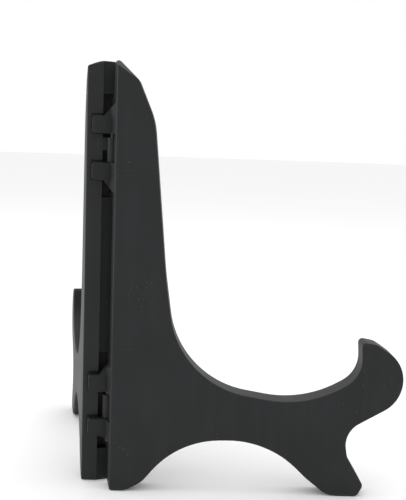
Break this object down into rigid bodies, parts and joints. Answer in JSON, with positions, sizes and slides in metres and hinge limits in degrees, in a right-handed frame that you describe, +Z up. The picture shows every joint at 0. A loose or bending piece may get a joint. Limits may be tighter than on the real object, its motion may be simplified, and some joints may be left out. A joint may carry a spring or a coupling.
{
  "type": "photo album stand",
  "caption": "Folding V-shaped display stand of moulded plastic; two mirrored profile leaves with cradle, raised knob and arched feet, hinged along the spine.",
  "frame": {"origin": "centre of the base of the whole stand when it is set up, on the surface it stands on", "axes": "+Z up; -Y towards the front, where the displayed item faces; +X towards the right leaf; the hinge is at the back, on the +Y side"},
  "size_m": [0.172, 0.0748, 0.1518],
  "materials": {
    "leaf_plastic": "charcoal black moulded plastic, finely textured, satin on the rounded edges",
    "pin_plastic": "smooth black rod"
  },
  "bodies": {
    "left_side": {"left_leaf": "leaf_plastic"},
    "right_side": {"right_leaf": "leaf_plastic", "upper_hinge_pin": "pin_plastic", "lower_hinge_pin": "pin_plastic"}
  },
  "joints": [
    {"name": "leaf_fold", "type": "hinge", "parent": "left_side", "child": "right_side", "pos_m": [0, 0.03046, 0], "axis": [0, 0, -1], "range_deg": [0, 99.6]}
  ]
}
